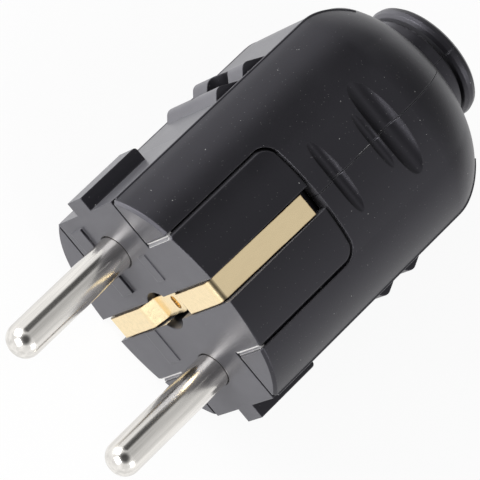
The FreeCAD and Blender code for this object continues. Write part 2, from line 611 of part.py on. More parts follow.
def shell(side, sign):
    """One half shell with its bosses, ribs and holes."""
    name = f"{side}_shell"
    axis = "X" if sign > 0 else "-X"
    seam = f"{sign} * seam_gap / 2"
    inside = f"{sign} * (screw_pocket_floor - screw_boss_floor)"
    parts = [half(f"{side}_wall", sign, wall_form),
             rod(f"{side}_screw_boss", axis, "screw_pocket_radius + screw_boss_wall",
                 "flat_distance - shell_wall / 2 - screw_pocket_floor + screw_boss_floor",
                 x=inside, y="screw_place"),
             rod(f"{side}_screw_sleeve", axis, "housing_thread_radius + screw_clearance + screw_sleeve_wall",
                 "screw_pocket_floor - seam_gap / 2", x=seam, y="screw_place")]
    holes = [rod(f"{side}_screw_pocket", axis, "screw_pocket_radius", "flat_distance",
                 x=f"{sign} * screw_pocket_floor", y="screw_place"),
             rod(f"{side}_screw_hole", axis, "housing_thread_radius + screw_clearance",
                 "flat_distance", y="screw_place")]
    for clip, up in CLIP_SIDES:
        peg_z = f"{up} * peg_height"
        parts.append(rod(f"{side}_{clip}_peg_boss", axis, "peg_boss_radius", "2 * peg_length - seam_gap",
                         x=seam, y="peg_place", z=peg_z))
        if sign < 0:
            parts.append(rod(f"{clip}_peg", "X", "peg_radius", "2 * peg_length", x="-peg_length",
                             y="peg_place", z=peg_z))
        else:
            holes.append(rod(f"{clip}_peg_hole", "X", "peg_radius + peg_clearance",
                             "peg_length + peg_clearance + 1", x="-1", y="peg_place", z=peg_z))
        parts.append(block(f"{side}_{clip}_lock_rib", "lock_notch_depth", "lock_ear_height / 2",
                           "carrier_length + lock_notch_place + joint_gap / 2", "lock_notch_width - joint_gap",
                           x=f"{sign} * (flat_distance - shell_wall - joint_gap)",
                           z=f"{up} * (carrier_half_height - joint_gap * 2 - lock_ear_height / 2)"))
    if sign < 0:
        reach = "flat_distance - shell_wall / 2 + clamp_level"
        for clip, up in CLIP_SIDES:
            z = f"{up} * clamp_screw_spread"
            parts.append(overlap(f"{clip}_clamp_boss", [
                rod(f"{clip}_clamp_post", "-X", "clamp_boss_radius", reach, x="clamp_level", y="clamp_place", z=z),
                outer_form]))
            holes.append(rod(f"{clip}_clamp_screw_hole", "-X", "clamp_thread_radius + thread_gap",
                             "clamp_screw_reach + 1.5", x="clamp_level + 1", y="clamp_place", z=z))
        for number, step in enumerate((-1, 1), 1):
            rib = f"clamp_place + {step} * saddle_rib_spread - saddle_rib / 2"
            parts.append(carve(f"saddle_{number}", block(
                f"saddle_block_{number}", "(flat_distance - shell_wall / 2 - cord_radius / 2) / 2",
                "saddle_half_width", rib, "saddle_rib",
                x="-(flat_distance - shell_wall / 2 + cord_radius / 2) / 2"),
                [rod(f"saddle_hollow_{number}", "Y", "cord_radius", "3 * saddle_rib",
                     y=f"{rib} - saddle_rib")]))
    else:
        seat = doc.addObject("Part::Prism", "nut_seat_form")
        seat.Polygon = 6
        seat.Placement.Rotation = TURN_TO["X"]
        bind(seat, Circumradius="(nut_across_flats / 2 + nut_fit) / cos(30)", Height="nut_seat + 1")
        holes.append(place(seat, "screw_pocket_floor - nut_seat", "screw_place"))
    return carve(name, join(f"{side}_shell_form", parts), holes)


left_shell = shell("left", -1)
right_shell = shell("right", 1)


def pin(side, sign):
    """Solid pin with its collar and terminal barrel."""
    axis = "X" if sign > 0 else "-X"
    x = f"{sign} * pin_spacing / 2"
    form = turned(f"{side}_pin_form", [
        ("0", "-pin_length"), ("pin_radius", "-pin_length"), ("pin_radius", "0"), ("undercut_radius", "0"),
        ("undercut_radius", "shank_start"), ("shank_radius", "shank_start"), ("shank_radius", "face_wall"),
        ("collar_radius", "face_wall"), ("collar_radius", "face_wall + collar_length"),
        ("barrel_radius", "face_wall + collar_length"), ("barrel_radius", "barrel_end"), ("0", "barrel_end")])
    round_edges(form, lambda e: circle_edge(e, size("pin_radius"), -size("pin_length")), "pin_tip_radius")
    place(form, x)
    return carve(f"pin_{side}", form, [
        rod(f"{side}_wire_hole", "Y", "wire_hole_radius", "wire_hole_depth + 1", x=x,
            y="barrel_end - wire_hole_depth"),
        rod(f"{side}_terminal_hole", axis, "terminal_thread_radius + thread_gap", "2 * barrel_radius",
            x=x, y="terminal_screw_place")])


def slotted(name, axis, head_radius, head_height, radius, reach, x="0", y="0", z="0"):
    """Slotted screw whose head seat is at a point and whose head looks along an axis."""
    back = axis[1:] if axis.startswith("-") else "-" + axis
    sign = -1 if axis.startswith("-") else 1
    head = rod(name + "_head", axis, head_radius, head_height, x, y, z)
    shank = rod(name + "_shank", back, radius, reach, x, y, z)
    slot = doc.addObject("Part::Box", name + "_slot")
    level = f"{sign} * (({head_height}) - driver_slot_depth)"
    if sign < 0:
        level += " - 2 * driver_slot_depth"
    wide = f"3 * ({head_radius})"
    if axis.endswith("X"):
        bind(slot, Length="2 * driver_slot_depth", Width="driver_slot", Height=wide)
        place(slot, f"({x}) + {level}", f"({y}) - driver_slot / 2", f"({z}) - {wide} / 2")
    else:
        bind(slot, Length="driver_slot", Width="2 * driver_slot_depth", Height=wide)
        place(slot, f"({x}) - driver_slot / 2", f"({y}) + {level}", f"({z}) - {wide} / 2")
    return carve(name, join(name + "_form", [head, shank]), [slot])


pins = [pin(side, sign) for side, sign in SIDES]
grub_screws = []
for side, sign in SIDES:
    seat = f"{sign} * (pin_spacing / 2 + terminal_screw_grip)"
    length = "(barrel_radius - terminal_screw_grip - driver_slot_depth / 4)"
    axis = "X" if sign > 0 else "-X"
    grub = rod(f"{side}_grub", axis, "terminal_thread_radius", length, x=seat, y="terminal_screw_place")
    slot = doc.addObject("Part::Box", f"{side}_grub_slot")
    bind(slot, Length="2 * driver_slot_depth", Width="driver_slot", Height="4 * terminal_thread_radius")
    end = f"{sign} * (pin_spacing / 2 + terminal_screw_grip + {length})"
    place(slot, f"{end} - driver_slot_depth", "terminal_screw_place - driver_slot / 2",
          "-2 * terminal_thread_radius")
    grub_screws.append(carve(f"{side}_grub_screw", grub, [slot]))
pin_terminal_screws = group("pin_terminal_screws", grub_screws)

# Terminal retainer: plate with sleeves that keep the pin collars on their seats.
plate_front = "(carrier_length - retainer_plate)"
retainer_parts = [block("retainer_form", f"{CARRIER_HALF} - carrier_wall - retainer_gap",
                        "carrier_half_height - carrier_wall - retainer_gap", plate_front, "retainer_plate")]
retainer_holes = [block("earth_window", "earth_block_half", "earth_block_half + chamber_wall",
                        f"{plate_front} - 1", "retainer_plate + 2")]
for side, sign in SIDES:
    x = f"{sign} * pin_spacing / 2"
    front = "face_wall + collar_length + pin_clearance / 2"
    retainer_parts.append(rod(f"{side}_sleeve", "Y", "collar_radius", f"{plate_front} - ({front})", x=x, y=front))
    retainer_holes.append(rod(f"{side}_sleeve_bore", "Y", "barrel_radius + barrel_clearance",
                              "2 * carrier_length", x=x, y="0"))
terminal_retainer = carve("terminal_retainer", join("retainer_body", retainer_parts), retainer_holes)

# Earth terminal: block and stud behind the strips, with its screw and square washer.
washer_front = "(face_wall + earth_block_length)"
stud_front = "(dip_depth + 2 * strip_thickness)"
earth_form = join("earth_form", [
    block("earth_block", "earth_block_half", "earth_block_half", "face_wall", "earth_block_length"),
    rod("earth_stud", "Y", "earth_stud_radius", f"face_wall + 1 - {stud_front}", y=stud_front)])
earth_terminal = carve("earth_terminal", earth_form, [
    rod("earth_thread", "Y", "earth_thread_radius + thread_gap", "earth_thread_reach + 2",
        y=f"{washer_front} - earth_thread_reach - 0.5")])
earth_clamp_washer = carve("earth_clamp_washer", block("washer_form", "earth_block_half", "earth_block_half",
                                                       washer_front, "earth_washer"),
                           [rod("washer_hole", "Y", "earth_thread_radius + screw_clearance", "3 * earth_washer",
                                y=f"{washer_front} - earth_washer")])
earth_terminal_screw = slotted("earth_terminal_screw", "Y", "earth_head_radius", "earth_head_height",
                               "earth_thread_radius", "earth_thread_reach + earth_washer",
                               y=f"{washer_front} + earth_washer")


def ribbon(name, path):
    """Strip bent along a path of (y, z) points at mid thickness, as wide as the earth strips."""
    bend = size("bend_radius")
    thick = size("strip_thickness") / 2
    points = [FreeCAD.Vector(0, y, z) for y, z in path]
    sides = {1: [], -1: []}
    ends = {}
    for way in (1, -1):
        first = (points[1] - points[0]).normalize()
        at = points[0] + FreeCAD.Vector(0, -first.z, first.y) * thick * way
        ends[way] = at
        for before, here, after in zip(points, points[1:], points[2:]):
            come = (here - before).normalize()
            go = (after - here).normalize()
            turn = come.y * go.z - come.z * go.y
            angle = come.getAngle(go)
            side = 1 if turn > 0 else -1
            normal = FreeCAD.Vector(0, -come.z, come.y) * side
            setback = bend * math.tan(angle / 2)
            centre = here - come * setback + normal * bend
            radius = bend - thick * way * side
            start = centre - normal * radius
            end = centre - FreeCAD.Vector(0, -go.z, go.y) * side * radius
            middle = centre + (start + end - centre * 2).normalize() * radius
            sides[way].append(Part.LineSegment(at, start).toShape())
            sides[way].append(Part.Arc(start, middle, end).toShape())
            at = end
        last = (points[-1] - points[-2]).normalize()
        finish = points[-1] + FreeCAD.Vector(0, -last.z, last.y) * thick * way
        sides[way].append(Part.LineSegment(at, finish).toShape())
        ends[way, "end"] = finish
    edges = sides[1] + [Part.LineSegment(ends[1, "end"], ends[-1, "end"]).toShape()]
    edges += sides[-1] + [Part.LineSegment(ends[-1], ends[1]).toShape()]
    face = Part.Face(Part.Wire(Part.__sortEdges__(edges)))
    width = size("strip_width")
    face.translate(FreeCAD.Vector(-width / 2, 0, 0))
    feature = doc.addObject("Part::Feature", name)
    feature.Shape = face.extrude(FreeCAD.Vector(width, 0, 0))
    return feature


thick = size("strip_thickness")
face_mid = thick / 2 - size("strip_proud")
arm_points = [(level, size("crown_height") - size(drop) - thick / 2)
              for level, drop in ((face_mid, "arm_front_drop"), (size("arm_end"), "arm_rear_drop"))]
top_mid = size("dip_depth") + thick / 2
low_mid = top_mid + thick
upper_form = ribbon("upper_strip_form", [
    (low_mid, -size("upper_strip_end")), (low_mid, size("upper_dip_end")),
    (face_mid, size("upper_dip_start"))] + arm_points)
lower_form = ribbon("lower_strip_form", [
    (top_mid, size("tongue_end")), (top_mid, -size("lower_dip_end")), (face_mid, -size("lower_dip_start"))]
    + [(y, -z) for y, z in arm_points])
notches = []
for side, sign in SIDES:
    notch = doc.addObject("Part::Prism", f"{side}_notch")
    notch.Polygon = 3
    notch.Placement.Rotation = FreeCAD.Rotation(
        FreeCAD.Vector(sign, 0, 0), FreeCAD.Vector(0, 0, 1), FreeCAD.Vector(0, -1, 0), "ZXY")
    bind(notch, Circumradius="2 * notch_depth", Height="6 * strip_thickness")
    notches.append(place(notch, f"{sign} * (strip_width / 2 + notch_depth)", "5 * strip_thickness",
                         "(upper_dip_start + upper_dip_end) / 2"))
upper_earth_strip = carve("upper_earth_strip", upper_form, notches)
tongue_round = overlap("tongue_round", [
    rod("tongue_disc", "Y", "strip_width / 2", "4 * strip_thickness", y="0", z="tongue_end - strip_width / 2"),
    block("tongue_half", "strip_width", "strip_width", "0", "4 * strip_thickness",
          z="tongue_end - strip_width / 2 + strip_width")])
tongue_waste = carve("tongue_waste", block("tongue_corner", "strip_width", "strip_width / 4 + 0.5", "0",
                                           "4 * strip_thickness",
                                           z="tongue_end - strip_width / 4 + 0.5"), [tongue_round])
lance_parts = [block("lance", "(lance_length - lance_width) / 2", "lance_width / 2", "0", "4 * strip_thickness",
                     z="lance_place")]
for side, sign in SIDES:
    lance_parts.append(rod(f"{side}_lance_end", "Y", "lance_width / 2", "4 * strip_thickness",
                           x=f"{sign} * (lance_length - lance_width) / 2", z="lance_place"))
lower_earth_strip = carve("lower_earth_strip", lower_form, [tongue_waste] + lance_parts)

# Cord clamp on the left shell, with its two screws.
bar = block("clamp_bar_form", "clamp_thickness / 2", "clamp_half_length", "clamp_place - clamp_half_width",
            "2 * clamp_half_width", x="clamp_level + clamp_thickness / 2")
arch = rod("clamp_arch", "Y", "clamp_arch_radius", "4 * clamp_half_width",
           x="clamp_level + clamp_arch_depth - clamp_arch_radius", y="clamp_place - 2 * clamp_half_width")
bar_holes = []
bar_screws = []
for clip, up in CLIP_SIDES:
    z = f"{up} * clamp_screw_spread"
    bar_holes.append(rod(f"{clip}_bar_hole", "X", "clamp_thread_radius + screw_clearance",
                         "2 * clamp_thickness", x="clamp_level - clamp_thickness / 2", y="clamp_place", z=z))
    bar_screws.append(slotted(f"{clip}_clamp_screw", "X", "clamp_head_radius", "clamp_head_height",
                              "clamp_thread_radius", "clamp_screw_reach + clamp_thickness",
                              x="clamp_level + clamp_thickness", y="clamp_place", z=z))
cord_clamp_bar = carve("cord_clamp_bar", bar, [arch] + bar_holes)
cord_clamp_screws = group("cord_clamp_screws", bar_screws)

# Cross screw and nut that hold the shells together.
nut_back = "(screw_pocket_floor - nut_seat)"
housing_screw = slotted("housing_screw", "-X", "housing_head_radius", "housing_head_height",
                        "housing_thread_radius", f"screw_pocket_floor + {nut_back} + nut_height + 0.5",
                        x="-screw_pocket_floor", y="screw_place")
nut = doc.addObject("Part::Prism", "nut_form")
nut.Polygon = 6
nut.Placement.Rotation = TURN_TO["X"]
bind(nut, Circumradius="nut_across_flats / 2 / cos(30)", Height="nut_height")
place(nut, nut_back, "screw_place")
housing_nut = carve("housing_nut", nut, [rod("nut_thread", "X", "housing_thread_radius + thread_gap",
                                             "3 * nut_height", x=f"{nut_back} - nut_height",
                                             y="screw_place")])

nodes = [contact_carrier, left_shell, right_shell, *pins, pin_terminal_screws, terminal_retainer, earth_terminal,
         earth_clamp_washer, earth_terminal_screw, upper_earth_strip, lower_earth_strip, cord_clamp_bar,
         cord_clamp_screws, housing_screw, housing_nut]
for node in nodes:
    node.Label = node.Name
doc.recompute()
for thing in doc.Objects:
    if "Invalid" in thing.State or "Error" in thing.State:
        raise RuntimeError(f"{thing.Name} failed")
for node in nodes:
    if node.Shape.isNull() or not node.Shape.isValid():
        raise RuntimeError(f"{node.Label} has no valid shape")
os.makedirs("parts", exist_ok=True)
for node in nodes:
    node.Shape.exportStep(f"parts/{node.Label}.step")
    print(node.Label, len(node.Shape.Solids), round(node.Shape.Volume, 2))
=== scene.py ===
# %% [markdown]
# A rewireable type F plug, dressed for a product photograph.
# The construction comes ready made: every moulding, pin, strip and screw is a node of the frame,
# in metres, with its place in its mesh. This lesson gives those nodes their finishes, adds the
# small things that a moulding shop or a user leaves behind, and sets up the camera and the light.

import bmesh
import bpy
from mathutils import Matrix, Vector
from mathutils.bvhtree import BVHTree


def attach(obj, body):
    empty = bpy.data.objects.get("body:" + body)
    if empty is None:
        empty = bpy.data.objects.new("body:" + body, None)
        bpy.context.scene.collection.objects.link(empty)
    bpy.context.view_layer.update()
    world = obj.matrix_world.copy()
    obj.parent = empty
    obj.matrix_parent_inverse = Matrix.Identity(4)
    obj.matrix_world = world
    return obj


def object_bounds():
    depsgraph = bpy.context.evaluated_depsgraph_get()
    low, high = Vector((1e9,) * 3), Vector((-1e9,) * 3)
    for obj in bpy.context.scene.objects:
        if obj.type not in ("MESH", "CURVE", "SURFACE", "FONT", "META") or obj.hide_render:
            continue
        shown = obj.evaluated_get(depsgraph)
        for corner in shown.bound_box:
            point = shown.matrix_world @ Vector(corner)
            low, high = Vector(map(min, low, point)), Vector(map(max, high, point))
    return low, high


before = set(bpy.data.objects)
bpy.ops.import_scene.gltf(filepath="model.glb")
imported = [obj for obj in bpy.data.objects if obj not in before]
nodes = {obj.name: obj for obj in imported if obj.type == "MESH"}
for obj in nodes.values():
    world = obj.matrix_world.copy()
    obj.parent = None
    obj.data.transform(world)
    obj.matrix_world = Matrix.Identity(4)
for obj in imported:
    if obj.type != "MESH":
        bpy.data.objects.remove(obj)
cad_low, cad_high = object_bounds()
MM = 0.001
print("construction box in mm:", [round(v / MM, 1) for v in (*cad_low, *cad_high)])

# %% [markdown]
# The camera comes first, because every finish is judged through it. The photograph was taken with
# a long lens from above the pins, rolled so that the plug runs across the picture. A camera can be
# turned by hand, but it is described better by its place and by three directions: right, down and
# forward. These were worked out from the pins, whose size and spacing are standard, and from the
# edges of the body.

# %% Camera
IMAGE_SIZE = 480
SENSOR = 36.0
FOCAL_PIXELS = 4642.7
CAMERA_PLACE = Vector((-93.216, -237.735, 511.612)) * MM
CAMERA_RIGHT = Vector((0.62846, 0.64628, 0.43285))
CAMERA_DOWN = Vector((0.76088, -0.62637, -0.16949))
CAMERA_FORWARD = Vector((0.16159, 0.43586, -0.88539))

camera_data = bpy.data.cameras.new("camera")
camera_data.sensor_width = SENSOR
camera_data.lens = FOCAL_PIXELS / IMAGE_SIZE * SENSOR
camera_data.clip_start = 0.01
camera = bpy.data.objects.new("camera", camera_data)
turn = Matrix((CAMERA_RIGHT, -CAMERA_DOWN, -CAMERA_FORWARD)).transposed()
camera.matrix_world = Matrix.Translation(CAMERA_PLACE) @ turn.to_4x4()
bpy.context.scene.collection.objects.link(camera)
bpy.context.scene.camera = camera
print("lens in mm:", round(camera_data.lens, 1))

# %% [markdown]
# Materials, the world and Geometry Nodes are all trees of nodes. Building them line by line soon
# repeats itself, so a few helpers come first: a new node with its values, a colour ramp, a sum on
# two values, how far two directions agree, and a mix of two shaders.

# %% Node helpers
def add(tree, kind, **values):
    """New node, with input values or node properties by name."""
    node = tree.nodes.new(kind)
    for name, value in values.items():
        if name in node.inputs:
            node.inputs[name].default_value = value
        else:
            setattr(node, name, value)
    return node


def ramp(tree, factor, stops):
    """Colour ramp through (position, grey or colour) stops."""
    node = tree.nodes.new("ShaderNodeValToRGB")
    elements = node.color_ramp.elements
    while len(elements) < len(stops):
        elements.new(0.5)
    for element, (position, colour) in zip(elements, stops):
        if not isinstance(colour, tuple):
            colour = (colour, colour, colour)
        element.position = position
        element.color = (*colour, 1.0)
    tree.links.new(factor, node.inputs["Fac"])
    return node.outputs["Color"]


def combine(tree, operation, first, second):
    """Math node on two sockets, or on a socket and a number."""
    node = add(tree, "ShaderNodeMath", operation=operation)
    for value, socket in zip((first, second), node.inputs):
        if isinstance(value, bpy.types.NodeSocket):
            tree.links.new(value, socket)
        else:
            socket.default_value = value
    return node.outputs[0]


def agreement(tree, first, second):
    """How far two directions agree, from -1 to 1. The second is a socket or plain numbers."""
    node = add(tree, "ShaderNodeVectorMath", operation="DOT_PRODUCT")
    tree.links.new(first, node.inputs[0])
    if isinstance(second, bpy.types.NodeSocket):
        tree.links.new(second, node.inputs[1])
    else:
        node.inputs[1].default_value = second
    return node.outputs["Value"]


def mix_shaders(tree, factor, first, second):
    """The first shader where the factor is 0, and the second where it is 1."""
    node = add(tree, "ShaderNodeMixShader")
    for value, socket in zip((factor, first, second), node.inputs):
        tree.links.new(value, socket)
    return node.outputs[0]


# %% [markdown]
# Black plastic is drawn by what it mirrors. Here that is a white table below and white walls around,
# so the front and the sides, which catch them, turn grey. The tops stay nearly black, because the
# room is dark where they look: at the ceiling, at the back, behind the camera and in a doorway.
# A room could be modelled for that, but a world that is darkened toward four directions is quicker
# and has no corners to show in the mirror images. Each stop is an agreement with the direction and
# the brightness there. The camera itself should see plain white, so its rays are answered apart.

# %% World
DARK_SPOTS = {
    "ceiling": ((0.05, 0.75, 0.66),
                [(0.45, 1.0), (0.62, 0.80), (0.80, 0.69), (0.86, 0.67), (0.92, 0.51), (1.0, 0.34)]),
    "back": ((0.10, 0.99, 0.0), [(0.60, 1.0), (0.95, 0.40)]),
    "behind the camera": ((-0.10, -0.42, 0.90), [(0.74, 1.0), (0.85, 0.40), (0.95, 0.08)]),
    "doorway": ((-0.610, 0.440, 0.659), [(0.945, 1.0), (0.975, 0.08)]),
}
PLAIN_WHITE = (1, 1, 1, 1)


def darkened(tree, light, spot):
    """Light of the room so far, times the brightness that one more dark spot leaves."""
    mix = add(tree, "ShaderNodeMix", data_type="RGBA", blend_type="MULTIPLY")
    mix.inputs["Factor"].default_value = 1.0
    tree.links.new(light, mix.inputs["A"])
    tree.links.new(spot, mix.inputs["B"])
    return mix.outputs["Result"]


world = bpy.data.worlds.new("studio")
bpy.context.scene.world = world
world.use_nodes = True
tree = world.node_tree
tree.nodes.clear()
direction = add(tree, "ShaderNodeTexCoord").outputs["Generated"]
spots = [ramp(tree, agreement(tree, direction, toward), stops) for toward, stops in DARK_SPOTS.values()]
light = spots[0]
for spot in spots[1:]:
    light = darkened(tree, light, spot)
room = add(tree, "ShaderNodeBackground", Strength=1.0)
tree.links.new(light, room.inputs["Color"])
seen = add(tree, "ShaderNodeBackground", Color=PLAIN_WHITE, Strength=1.0)
rays = add(tree, "ShaderNodeLightPath").outputs
chosen = mix_shaders(tree, rays["Is Camera Ray"], room.outputs[0], seen.outputs[0])
sky = add(tree, "ShaderNodeOutputWorld")
tree.links.new(chosen, sky.inputs["Surface"])
print("dark spots of the room:", ", ".join(DARK_SPOTS))

# %% [markdown]
# The plug lies on a matte white table. A plain white diffuse plane would come out grey, and more
# light to whiten it would bleach the plug. So rays from the camera and from mirrors and glass mostly
# find plain white there, and the small rest keeps the plug's soft shadow.

# %% Table
TABLE_SIZE = 3.0
PAPER_COLOUR = (0.9, 0.9, 0.9, 1)
WHITE_SHARE = 0.90

bpy.ops.mesh.primitive_plane_add(size=TABLE_SIZE, location=(0, 0, cad_low.z))
table = bpy.context.object
table.name = "white_table"
paper = bpy.data.materials.new("white_paper")
paper.use_nodes = True
tree = paper.node_tree
tree.nodes.clear()
matte = add(tree, "ShaderNodeBsdfDiffuse", Color=PAPER_COLOUR)
white = add(tree, "ShaderNodeEmission", Color=PLAIN_WHITE, Strength=1.0)
rays = add(tree, "ShaderNodeLightPath").outputs
mirrored = combine(tree, "MAXIMUM", rays["Is Glossy Ray"], rays["Is Transmission Ray"])
looked_at = combine(tree, "MAXIMUM", rays["Is Camera Ray"], mirrored)
share = combine(tree, "MULTIPLY", looked_at, WHITE_SHARE)
out = add(tree, "ShaderNodeOutputMaterial")
tree.links.new(mix_shaders(tree, share, matte.outputs[0], white.outputs[0]), out.inputs["Surface"])
table.data.materials.append(paper)
print("table top in mm:", round(cad_low.z / MM, 1))

# %% [markdown]
# Three soft boxes stand round the plug, one of them weak. Lamps straight above would be mirrored in
# the tops and turn them grey. These are out of that mirror direction, so the tops stay dark, while
# the rounded corners between top and flank catch a soft highlight.

# %% Lamps
LAMP_AIM = (0, 20, 0)
LAMPS = {
    "soft_box_left": {"place": (-560, -160, 200), "size": 420, "watts": 3.4},
    "soft_box_front": {"place": (-160, -600, 160), "size": 380, "watts": 2.4},
    "soft_box_right": {"place": (540, -60, 360), "size": 300, "watts": 0.9},
}


def lamp(name, place, size, watts):
    """Square soft box at a place, aimed at the plug, in millimetres."""
    data = bpy.data.lights.new(name, "AREA")
    data.size = size * MM
    data.energy = watts
    box = bpy.data.objects.new(name, data)
    box.location = Vector(place) * MM
    box.rotation_euler = (Vector(LAMP_AIM) - Vector(place)).to_track_quat("-Z", "Y").to_euler()
    bpy.context.scene.collection.objects.link(box)


for name, values in LAMPS.items():
    lamp(name, **values)
print("lamps:", ", ".join(LAMPS))

# %% [markdown]
# The finishes share five effects: mould grain, mottling, dust, painted light on the sides that face
# left, forward and down, and rubbed edges. Each could be drawn anew in every material. As a node
# group with named inputs it is built once, and a material only says how strong it wants the effect.
# A group here puts out one number between 0 and 1, which the material turns into colour, gloss or height.

# %% Effect groups
def effect(name, output, **inputs):
    """Empty shader node group with float inputs, given with their defaults, and one float output."""
    group = bpy.data.node_groups.new(name, "ShaderNodeTree")
    for label, default in inputs.items():
        socket = group.interface.new_socket(label, in_out="INPUT", socket_type="NodeSocketFloat")
        socket.default_value = default
    group.interface.new_socket(output, in_out="OUTPUT", socket_type="NodeSocketFloat")
    return group, group.nodes.new("NodeGroupInput"), group.nodes.new("NodeGroupOutput")


def use(tree, group, **values):
    """Place a shared effect in a material with its own values."""
    node = tree.nodes.new("ShaderNodeGroup")
    node.node_tree = group
    for name, value in values.items():
        node.inputs[name].default_value = value
    return node.outputs[0]


def noise(tree, where, **values):
    """Noise texture on a vector."""
    node = add(tree, "ShaderNodeTexNoise", **values)
    tree.links.new(where, node.inputs["Vector"])
    return node


def spread(tree, value, given, wanted):
    """Stretch one pair of limits to another. What lies outside is held at the limit."""
    node = add(tree, "ShaderNodeMapRange")
    for label, limit in zip(("From Min", "From Max", "To Min", "To Max"), (*given, *wanted)):
        node.inputs[label].default_value = limit
    tree.links.new(value, node.inputs["Value"])
    return node.outputs[0]


# %% [markdown]
# Grain and mottling are the same thing at two scales. The grain is the fine texture that the steel
# mould was etched with. The mottling is the slow change in tint and gloss where the melt flowed.
# Both are noise on Object coordinates, so they need no UV map and stay put on the moulding.

# %% Grain and mottling
def cloud_effect(name, output, scale, detail, roughness):
    """Noise from 0 to 1, with its scale as an input."""
    group, given, result = effect(name, output, Scale=scale)
    where = add(group, "ShaderNodeTexCoord").outputs["Object"]
    cloud = noise(group, where, Detail=detail, Roughness=roughness)
    group.links.new(given.outputs["Scale"], cloud.inputs["Scale"])
    group.links.new(cloud.outputs["Fac"], result.inputs[output])
    return group


GRAIN = cloud_effect("mould_grain", "Height", scale=4000.0, detail=3.0, roughness=0.6)
MOTTLE = cloud_effect("mottle", "Value", scale=90.0, detail=4.0, roughness=0.55)
print("cloud effects:", GRAIN.name, MOTTLE.name)

# %% [markdown]
# Dust is scattered specks, few and sharp. Noise would give soft blots. A Voronoi texture fills
# space with cells instead: the middle of a cell is a round speck, and each cell's random colour
# decides whether its speck is kept.

# %% Dust
def make_dust():
    """Mask of round specks, with their spacing, their size and the share of them that is kept."""
    group, given, result = effect("dust_specks", "Mask", Scale=600.0, Size=0.045, Share=0.5)
    cells = add(group, "ShaderNodeTexVoronoi", feature="F1")
    where = add(group, "ShaderNodeTexCoord").outputs["Object"]
    group.links.new(where, cells.inputs["Vector"])
    group.links.new(given.outputs["Scale"], cells.inputs["Scale"])
    near = combine(group, "LESS_THAN", cells.outputs["Distance"], given.outputs["Size"])
    pick = add(group, "ShaderNodeSeparateColor")
    group.links.new(cells.outputs["Color"], pick.inputs[0])
    kept = combine(group, "LESS_THAN", pick.outputs[0], given.outputs["Share"])
    group.links.new(combine(group, "MULTIPLY", near, kept), result.inputs["Mask"])
    return group


DUST = make_dust()
print("dust effect:", DUST.name)

# %% [markdown]
# The sides that face left, forward and down are painted paler. This is painted light, for the light
# of the lamps and the table that falls on them. It could be painted on each face by hand. A mask from
# the surface's own direction does all pieces alike: the painted light begins softly where a side turns
# that way, and clouds of noise make it patchy.

# %% Painted side light
LIT_SIDE_DIRECTION = (-0.72, -0.52, -0.38)
SIDE_LIGHT_CLOUD = {"Scale": 260.0, "Detail": 5.0, "Roughness": 0.6}
SIDE_LIGHT_CLOUD_LIMITS = (0.3, 0.7)
SIDE_LIGHT_FAINTEST = 0.82


def make_painted_side_light():
    """Mask of the painted side light, from the agreement where it begins to the one where it is full."""
    group, given, result = effect("painted_side_light", "Mask", From=0.30, To=0.68)
    where = add(group, "ShaderNodeTexCoord").outputs
    soft = add(group, "ShaderNodeMapRange", interpolation_type="SMOOTHSTEP")
    group.links.new(agreement(group, where["Normal"], LIT_SIDE_DIRECTION), soft.inputs["Value"])
    group.links.new(given.outputs["From"], soft.inputs["From Min"])
    group.links.new(given.outputs["To"], soft.inputs["From Max"])
    cloud = noise(group, where["Object"], **SIDE_LIGHT_CLOUD)
    patchy = spread(group, cloud.outputs["Fac"], SIDE_LIGHT_CLOUD_LIMITS, (SIDE_LIGHT_FAINTEST, 1.0))
    group.links.new(combine(group, "MULTIPLY", soft.outputs[0], patchy), result.inputs["Mask"])
    return group


PAINTED_SIDE_LIGHT = make_painted_side_light()
print("film effect:", PAINTED_SIDE_LIGHT.name)

# %% [markdown]
# Edges are what fingers and sockets rub first. Pointiness would find them only on a dense mesh, and
# the mesh here is coarse on flat faces. The Bevel node works on any mesh: near an edge its rounded
# normal leaves the flat one, and how far the two agree is the mask. Noise breaks the line up.

# %% Rubbed edges
BEVEL_SAMPLES = 6
EDGE_BEGINS = 0.99
EDGE_CLOUD = {"Scale": 900.0, "Detail": 3.0}
EDGE_CLOUD_LIMITS = (0.35, 0.60)
EDGE_FAINTEST = 0.25


def make_edge():
    """Mask of rubbed edges, with their width in metres and the agreement where wear is full."""
    group, given, result = effect("edge_wear", "Mask", Width=0.0002, Full=0.85)
    flat = add(group, "ShaderNodeNewGeometry").outputs["True Normal"]
    rounded = add(group, "ShaderNodeBevel", samples=BEVEL_SAMPLES)
    group.links.new(given.outputs["Width"], rounded.inputs["Radius"])
    mask = add(group, "ShaderNodeMapRange")
    mask.inputs["From Min"].default_value = EDGE_BEGINS
    group.links.new(agreement(group, flat, rounded.outputs[0]), mask.inputs["Value"])
    group.links.new(given.outputs["Full"], mask.inputs["From Max"])
    cloud = noise(group, add(group, "ShaderNodeTexCoord").outputs["Object"], **EDGE_CLOUD)
    patchy = spread(group, cloud.outputs["Fac"], EDGE_CLOUD_LIMITS, (EDGE_FAINTEST, 1.0))
    group.links.new(combine(group, "MULTIPLY", mask.outputs[0], patchy), result.inputs["Mask"])
    return group


EDGE = make_edge()
print("edge effect:", EDGE.name)
